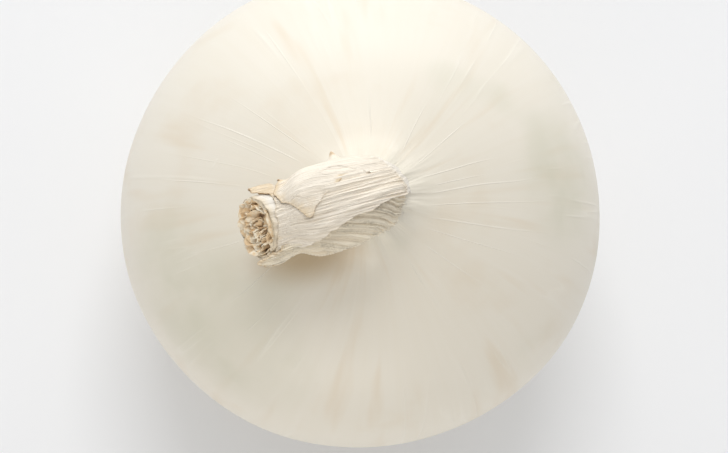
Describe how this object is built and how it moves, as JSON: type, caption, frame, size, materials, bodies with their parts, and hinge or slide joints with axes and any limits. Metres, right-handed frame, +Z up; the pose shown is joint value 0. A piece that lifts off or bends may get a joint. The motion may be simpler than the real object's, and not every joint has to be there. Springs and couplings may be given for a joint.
{
  "type": "onion",
  "caption": "Large white onion standing on its root end, its dried neck bent over to one side, with papery torn leaf sheaths, a crumpled cut end and a short root tuft.",
  "frame": {"origin": "middle of the flat ring at the root end that the onion rests on, in the plane of the resting surface", "axes": "+Z up, along the bulb from root to neck; -X is the side that the neck leans towards; +Y is the side of the neck that carries the smooth upper sheath"},
  "size_m": [0.0908, 0.0892, 0.0972],
  "materials": {
    "skin": "thin ivory skin with a soft satin sheen and fine veins from neck to root",
    "dry_sheath": "dry matte papery leaf, pleated lengthwise, with tan torn edges",
    "cut_leaf": "dry crumpled tan and brown leaf ends, matte",
    "dry_root": "dry fibrous rootlets, matte tan"
  },
  "bodies": {
    "root": {"bulb": "skin", "neck_wrap": "dry_sheath", "upper_sheath": "dry_sheath", "lower_sheath": "dry_sheath", "cut_leaf_bases": "cut_leaf", "root_tuft": "dry_root"}
  },
  "joints": []
}
